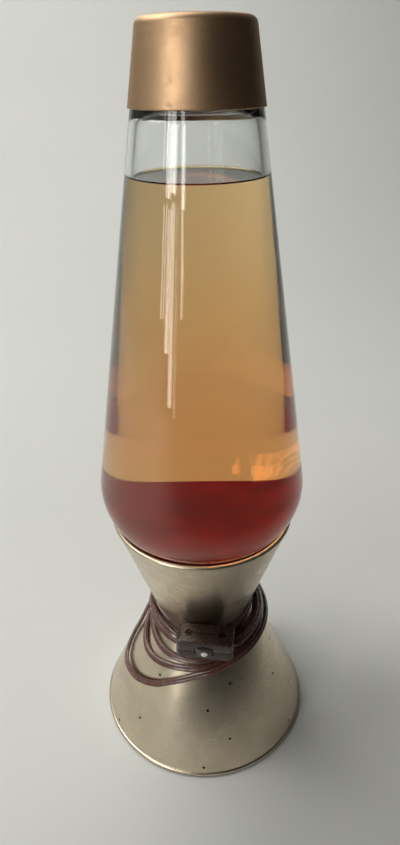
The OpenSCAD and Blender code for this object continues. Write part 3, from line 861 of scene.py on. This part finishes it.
def wax_mesh():
    """The cold wax: its top is flat, and creeps up the glass."""
    off = GLOBE_WALL - INTO_GLASS - 0.0001
    low = FOOT_Z + GLOBE_WALL + 0.0009
    heel = arc(HEEL_X, FOOT_Z + HEEL_R, HEEL_R - off, -pi / 2, -LOW_A, 6)
    side = side_between(heel[-1][1] + 0.001, WAX_Z, off, 60)
    rim = side[-1][0]
    skin = [(rim - 0.002, WAX_Z - 0.0004), (rim - 0.005, WAX_Z - 0.0007)]
    top = straight((rim - 0.01, WAX_Z - 0.0008), (0, WAX_Z - 0.0006), 12)
    return lathe([(0, low)] + [p for p in heel if p[1] > low] + side + skin + top
                 + [(0, WAX_Z - 0.0006)], 256, sharp=60)


def coil_line():
    """The wire coil in the wax: a spring bent into a ring."""
    low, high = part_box("wax_coil")
    middle = (low.z + high.z) / 2
    thick = (high.z - low.z) / 2
    ring = high.x - thick
    turns, per_turn, wire = 54, 12, 0.0006
    a = np.linspace(0, 2 * pi, turns * per_turn + 1)[:-2]
    b = a * turns
    out = ring + (thick - wire) * np.cos(b)
    line = np.stack([out * np.cos(a), out * np.sin(a), middle + (thick - wire) * np.sin(b)], 1)
    centre = np.stack([ring * np.cos(a), ring * np.sin(a), np.full_like(a, middle)], 1)
    return line, line - centre, wire


def crown_mesh():
    """The crown cap: its skirt swings in and out in 21 flutes."""
    top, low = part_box("crown_cap")[1].z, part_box("crown_cap")[0].z
    flutes = 21

    def flute(r, z, a):
        share = min(1, max(0, (top - 0.0012 - z) / 0.004))
        return 0.0006 * share * (cos(flutes * a) - 0.6)

    outline = rounded([(0, top, 0), (0.0136, top, 0.0012), (0.0144, top - 0.0018, 0.0008),
                       (0.0157, low, 0.0001), (0.0153, low, 0.0001), (0.0140, top - 0.0020, 0.0006),
                       (0.0132, top - 0.0006, 0.0006), (0, top - 0.0006, 0)])
    return lathe(outline, 336, flute)


# ---- cap ----
# Small dents in the cap's side: angle, height, size, depth
DENTS = ((radians(-113), 0.411, 0.0016, 0.00022), (radians(-112), 0.4008, 0.0012, 0.0003),
         (radians(-60), 0.4003, 0.0010, 0.0002), (radians(40), 0.4200, 0.0018, 0.0002))


def cap_mesh():
    slope = (CAP_LOW_R - CAP_TOP_R) / (TOP_Z - CAP_Z - CAP_CORNER)
    lean = atan(slope)
    corner_z = TOP_Z - CAP_DOME - CAP_CORNER
    corner_x = CAP_LOW_R - slope * (corner_z - CAP_Z) - CAP_CORNER / cos(lean)

    def side(off):
        bend = arc(corner_x, corner_z, CAP_CORNER - off, lean, pi / 2, 12)
        low = (CAP_LOW_R - off / cos(lean), CAP_Z + 0.0003)
        dome = [(bend[-1][0] * (1 - t), TOP_Z - off - CAP_DOME * (1 - t) ** 2)
                for t in (0.25, 0.5, 0.75, 1)]
        return straight(low, bend[0], 60) + bend + dome

    def dent(r, z, a):
        deep = 0.0
        for angle, height, size, depth in DENTS:
            off = (a - angle + pi) % (2 * pi) - pi
            deep -= depth * exp(-((off * r) ** 2 + (z - height) ** 2) / size**2)
        return deep

    edge = arc(CAP_LOW_R - CAP_WALL / 2, CAP_Z + 0.0003, CAP_WALL / 2, pi, 2 * pi, 6)[1:-1]
    return lathe(side(0) + side(CAP_WALL)[::-1] + edge, 360, dent)


# ---- switch ----
def place_in_switch(mesh):
    mesh.transform(Matrix.Translation(SWITCH_AT) @ Matrix.Rotation(SWITCH_TURN, 4, "Z"))
    return mesh


def switch_half(side):
    """One half of the housing: side is 1 for the upper one and -1 for the lower one."""
    half = SWITCH_SIZE.z / 2
    bm = bmesh.new()
    bm.from_mesh(box_mesh(SWITCH_SIZE, 0.003, 0.0011, 8, 4))
    geom = [*bm.verts, *bm.edges, *bm.faces]
    seam = side * HALF_GAP * 2
    bmesh.ops.bisect_plane(bm, geom=geom, plane_co=(0, 0, seam), plane_no=(0, 0, -side), clear_outer=True)
    bmesh.ops.holes_fill(bm, edges=[e for e in bm.edges if e.is_boundary])
    step = [e for e in bm.edges if all(abs(v.co.z - seam) < 1e-7 for v in e.verts)]
    bmesh.ops.bevel(bm, geom=step, offset=0.00025, segments=2, profile=0.5, affect="EDGES")
    bmesh.ops.recalc_face_normals(bm, faces=bm.faces)
    block = mesh_of(bm)
    wheel_room = Matrix.Translation((0, WHEEL_Y, 0))
    tools = [cylinder_mesh(WHEEL_R + 0.0004, WHEEL_H + 0.0008, wheel_room, 64)]
    # At each end: the screw's sunk head and its shank, and the cord's way in
    for x in (-1, 1):
        head = Matrix.Translation((x * SWITCH_SCREW_X, 0, half - 0.0001))
        shank = Matrix.Translation((x * SWITCH_SCREW_X, 0, 0))
        tools.append(cylinder_mesh(0.0025, 0.003, head, 40))
        tools.append(cylinder_mesh(0.0013, 0.012, shank, 24))
        way = Matrix.Translation((x * SWITCH_SIZE.x / 2, SWITCH_CORD_Y, 0))
        way = way @ Matrix.Rotation(pi / 2, 4, "Y")
        tools.append(prism(superellipse(0.0013, 0.0024, 2.6), 0.009, way))
    if side > 0:
        groove = Matrix.Translation((0, 0, half))
        tools.append(prism(superellipse(0.0076, 0.00035, 8), 0.0012, groove))
    contact_room = Matrix.Translation((0, 0.0058, 0))
    tools.append(prism(superellipse(0.011, 0.0008, 12), 0.005, contact_room))
    return place_in_switch(cut(block, tools, 30))


def wheel_mesh():
    """The thumbwheel: a rim with 30 ribs, and its axle."""
    ribs, half = 30, WHEEL_H / 2

    def rib(r, z, a):
        share = 1 if r > WHEEL_R - 0.001 else 0
        return share * 0.00026 * (abs(cos(ribs * a / 2)) - 1)

    axle, tip = 0.0018, 0.005
    outline = rounded([(0, -tip, 0), (axle, -tip, 0.0003), (axle, -half, 0.0001), (WHEEL_R, -half, 0.0005),
                       (WHEEL_R, half, 0.0005), (axle, half, 0.0001), (axle, tip, 0.0003), (0, tip, 0)])
    mesh = lathe(outline, 480, rib)
    mesh.transform(Matrix.Translation((0, WHEEL_Y, 0)))
    return place_in_switch(mesh)


def mark_mesh():
    """The oval dot of paint that shows which way the wheel stands."""
    rows, columns = 7, 20
    vertices = []
    for i in range(rows + 1):
        for k in range(columns):
            b = 2 * pi * k / columns
            share = i / rows
            a = -pi / 2 + radians(17) * share * cos(b) + radians(4)
            z = 0.0019 * share * sin(b)
            r = WHEEL_R + 0.00012 * (1 - share**4) - 0.00003
            vertices.append((r * cos(a), r * sin(a) + WHEEL_Y, z))
    vertices += [(x, y + 0.0004, z) for x, y, z in vertices[-columns:]]
    faces = tube_faces(rows + 2, columns)
    del faces[-2]      # the first ring is a point, and needs no face over it
    return place_in_switch(finished_mesh(vertices, faces))


# ---- plug and bushing ----
def plug_mesh():
    """The moulded plug: a ribbed neck that swells into a flat-sided grip and a square-edged face."""
    # Height along the plug, half width, half thickness, squareness
    stages = [(0.0, 0.0040, 0.0030, 2.0), (0.0012, 0.0043, 0.0033, 2.0), (0.0030, 0.0036, 0.0028, 2.0),
              (0.0045, 0.0046, 0.0037, 2.0), (0.0062, 0.0040, 0.0033, 2.1), (0.0076, 0.0056, 0.0046, 2.3),
              (0.0098, 0.0088, 0.0058, 2.8), (0.0130, 0.0112, 0.0064, 3.4), (0.0170, 0.0106, 0.0058, 3.6),
              (0.0205, 0.0108, 0.0058, 4.0), (0.0232, 0.0118, 0.0064, 4.6), (0.0252, 0.0119, 0.0064, 5.0),
              (0.0260, 0.0113, 0.0058, 5.0)]
    line = smooth_line([(0, z, 0) for z, *_ in stages], 0.0006)
    heights = line[:, 1]
    at = [s[0] for s in stages]
    shape = [np.interp(heights, at, [s[k] for s in stages]) for k in (1, 2, 3)]
    vertices, count = [], 56
    for z, wide, deep, power in zip(heights, *shape):
        vertices += [(y, x, z) for x, y in superellipse(wide, deep, power, count)]
    mesh = finished_mesh(vertices, tube_faces(len(heights), count), 50)
    slots = [prism(superellipse(0.00078, 0.00318, 12), 0.012, Matrix.Translation((0, y, 0.026)))
             for y in (-BLADE_Y, BLADE_Y)]
    mesh = cut(mesh, slots, 50)
    mesh.transform(Matrix.Rotation(PLUG_ANGLE, 4, "Z") @ Matrix.Translation((PLUG_R, 0, PLUG_Z))
                   @ Matrix.Rotation(PLUG_TILT, 4, "Y"))
    return mesh


def bushing_mesh():
    """The strain relief: a flange against the cone and a long taper with grooves that let it bend."""
    low, tip = -0.005, 0.020
    outer = [(0.005, low), (0.0062, low + 0.0022), (0.0045, low + 0.0024), (0.0045, 0.001), (0.0064, 0.001),
             (0.0068, 0.0014), (0.0068, 0.0022), (0.0064, 0.0026), (0.0053, 0.0027)]
    grooves = 6
    start = 0.0040
    pitch = (tip - 0.0012 - start) / grooves
    for i in range(grooves):
        z = start + pitch * i
        r = 0.0052 - 0.0013 * (z - start) / (tip - start)
        outer += [(r, z), (r - 0.0001, z + pitch * 0.45), (r - 0.0007, z + pitch * 0.55),
                  (r - 0.0007, z + pitch * 0.85)]
    outer += [(0.0039, tip - 0.0011), (0.0038, tip - 0.0003), (0.0035, tip), (0.0024, tip), (0.0024, low)]
    mesh = lathe(outer, 72, sharp=45)
    mesh.transform(OUTLET)
    return mesh


# ---- room ----
def make_floor():
    """A pale floor that sweeps up behind the lamp, with painted shade that darkens it towards the front
    right.
    """
    f = Finish("pale_paper", Roughness=0.85)
    tone = f.noise(6, 3, 0.5)
    pale = f.mix(tone, (0.56, 0.57, 0.54), (0.60, 0.60, 0.58))
    side, depth = f.node("SeparateXYZ", {0: f.place}).outputs[:2]
    # Painted shade: the floor is darker towards the front right, where the lamp's shadow and the fall-off
    # of the light would be.
    light = f.fade(f.math("SUBTRACT", depth, f.math("MULTIPLY", side, 0.8)), -0.50, 0.07)
    f.feed("Base Color", f.mix(light, (0.17, 0.165, 0.16), pale))
    wide, front, back, bend, high = 2.4, -2.4, 0.9, 0.9, 2.6
    profile = [(front, 0.0), (back, 0.0)]
    for t in np.linspace(0.1, pi / 2, 16):
        profile.append((back + bend * sin(t), bend * (1 - cos(t))))
    profile.append((back + bend, high))
    vertices = [(x, y, z) for y, z in profile for x in (-wide, wide)]
    faces = [(2 * i, 2 * i + 1, 2 * i + 3, 2 * i + 2) for i in range(len(profile) - 1)]
    mesh = bpy.data.meshes.new("sweep")
    mesh.from_pydata(vertices, [], faces)
    mesh.shade_smooth()
    mesh.materials.append(f.material)
    new_object("sweep", mesh)


def lamp(name, place, target, width, height, power, colour):
    """A rectangle of light that faces its target."""
    data = bpy.data.lights.new(name, "AREA")
    data.shape, data.size, data.size_y = "RECTANGLE", width, height
    data.energy, data.color = power, colour
    o = new_object(name, data)
    o.location = place
    o.rotation_euler = (Vector(place) - Vector(target)).to_track_quat("Z", "Y").to_euler()


WINDOW_AWAY = 1.25       # from the lamp's axis
# The window's panes: angle left of the camera's side, width, lowest and highest point, brightness
PANES = ((53.0, 0.05, 0.55, 1.2, 16), (46.0, 0.12, 0.50, 1.2, 24), (38.0, 0.17, 0.52, 1.2, 24),
         (23.0, 0.09, 0.50, 1.2, 20), (50.0, 0.04, 0.22, 0.48, 18), (43.0, 0.07, 0.15, 0.48, 18),
         (37.0, 0.08, 0.02, 0.50, 18), (31.5, 0.02, 0.0, 0.50, 14), (23.5, 0.035, 0.25, 0.50, 16))


def make_lights():
    """A window of nine panes at the left, and soft lights above and behind."""
    for k, (angle, width, low, high, glow) in enumerate(PANES):
        a, middle = radians(angle), (low + high) / 2
        place = (-WINDOW_AWAY * sin(a), -WINDOW_AWAY * cos(a), middle)
        lamp("window_pane_%d" % k, place, (0, 0, middle), width, high - low,
             glow * width * (high - low), (1.0, 0.985, 0.95))
    lamp("high_left", (-1.3, 0.1, 1.8), (0, 0, 0.1), 1.0, 1.0, 18, (1.0, 0.99, 0.97))
    lamp("top", (-0.7, 0.6, 1.9), (0, 0.3, 0.0), 1.2, 1.2, 16, (1.0, 0.99, 0.97))
    lamp("back_wash", (-0.6, 1.0, 1.6), (0, 1.7, 0.5), 1.6, 0.6, 9, (1.0, 0.99, 0.96))


def make_sky():
    """A dim room: brighter to the left, dark behind the camera and to the right."""
    world = bpy.data.worlds.new("room")
    bpy.context.scene.world = world
    n = Nodes(world)
    way = n.node("TexCoord").outputs["Generated"]
    x, y = n.node("SeparateXYZ", {0: way}).outputs[:2]
    glow = n.math("MULTIPLY", n.fade(x, -0.95, 0.35, 0.30, 0.03), n.fade(y, -0.9, 0.3, 0.35, 1.0))
    sky = n.tree.nodes["Background"]
    sky.inputs["Color"].default_value = (0.93, 0.97, 0.94, 1)
    n.tree.links.new(glow, sky.inputs["Strength"])
    bpy.context.scene.view_settings.view_transform = "Standard"


# ---- put together ----
def plain_pieces():
    """Gives the CAD nodes that stay their materials."""
    frosted = milky("frosted_glass", 1500, (0.74, 0.73, 0.70), (0.84, 0.83, 0.81), 0.45, 0.6,
                    Coat_Weight=1.0, Coat_Roughness=0.03, Subsurface_Weight=0.5, Subsurface_Scale=0.01)
    liner = milky("crown_liner", 800, (0.62, 0.58, 0.50), (0.74, 0.70, 0.62), 0.5, 0.7)
    steel = plain_metal("zinc_steel", (0.50, 0.51, 0.52), (0.36, 0.36, 0.36), 0.36)
    brass = plain_metal("brass", (0.70, 0.50, 0.22), (0.50, 0.34, 0.14), 0.32)
    aged = plain_metal("aged_brass", (0.060, 0.045, 0.032), (0.030, 0.024, 0.018), 0.40)
    tin = plain_metal("tinned_shell", (0.66, 0.64, 0.58), (0.52, 0.49, 0.42), 0.30)
    filament = plain_metal("tungsten", (0.20, 0.20, 0.21), (0.10, 0.10, 0.11), 0.5)
    finishes = {
        steel: ("waist_rivets", "socket_bracket", "bracket_screws", "bracket_nuts", "nipple_nut",
                "bulb_leads"),
        brass: ("socket_nipple", "socket_shell", "socket_contact", "terminal_screws", "switch_contacts",
                "plug_blades"),
        aged: ("switch_screws",),
        tin: ("bulb_cap", "bulb_contact"),
        filament: ("bulb_filament",),
        felt(): ("felt_ring",),
        fibreboard(): ("bottom_plate", "socket_disc"),
        porcelain(): ("socket_body",),
        moulded("black_glass", (0.012, 0.012, 0.014), (0.03, 0.03, 0.032), 0.2): ("bulb_insulator",),
        inner_glass(): ("bulb_stem",),
        frosted: ("bulb_glass",),
        liner: ("crown_liner",),
    }
    for material, names in finishes.items():
        for name in names:
            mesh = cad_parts[name].data
            mesh.materials.clear()
            mesh.materials.append(material)


def build():
    make_camera()
    make_floor()
    make_lights()
    make_sky()
    brown = moulded("brown_plastic", (0.024, 0.012, 0.009), (0.040, 0.022, 0.017), 0.25)
    wheel_brown = moulded("wheel_plastic", (0.045, 0.026, 0.021), (0.070, 0.043, 0.035), 0.38)
    champagne = spun_metal("champagne_metal", (0.67, 0.58, 0.445), (0.59, 0.505, 0.38), 0.29)
    bronze = spun_metal("bronze_metal", (0.50, 0.325, 0.19), (0.43, 0.275, 0.155), 0.47)

    plug = piece("plug_moulding", plug_mesh(), "base", "brown_plastic", brown, "plug_body")
    upper = piece("switch_upper", switch_half(1), "base", "brown_plastic", brown, "switch_top")
    lower = piece("switch_lower", switch_half(-1), "base", "brown_plastic", brown, "switch_bottom")
    wheel = piece("thumbwheel", wheel_mesh(), "wheel", "wheel_plastic", wheel_brown, "switch_wheel")
    mark = piece("wheel_mark", mark_mesh(), "wheel", "wheel_plastic",
                 paint("mark_paint", (0.80, 0.76, 0.70), (0.10, 0.06, 0.05)))
    relief = piece("strain_relief", bushing_mesh(), "base", "brown_plastic", brown, "cord_bushing")
    make_cord(cord_plastic())

    piece("lower_cone_metal", lower_cone_mesh(), "base", "base_metal", champagne, "lower_cone")
    piece("upper_cone_metal", upper_cone_mesh(), "base", "base_metal", champagne, "upper_cone")
    piece("cap_metal", cap_mesh(), "cap", "cap_metal", bronze, "cap")
    globe = piece("globe", globe_mesh(), "globe", "globe_glass", clear_glass(), "globe_glass")
    liquid = piece("liquid_body", liquid_mesh(), "globe", "liquid", amber_liquid(), "liquid")
    piece("wax_body", wax_mesh(), "globe", "wax", red_wax(), "wax")
    for clear in (globe, liquid):
        clear.visible_shadow = False
    piece("crown", crown_mesh(), "globe", "crown",
          plain_metal("gilt_tin", (0.62, 0.47, 0.20), (0.46, 0.33, 0.13), 0.28), "crown_cap")
    plain_pieces()
    line, outward, wire = coil_line()
    ring = [(wire * cos(a), wire * sin(a)) for a in np.linspace(0, 2 * pi, 7)[:-1]]
    piece("wire_coil", sweep(line, outward, ring), "globe", "steel",
          bpy.data.materials["zinc_steel"], "wax_coil")


build()
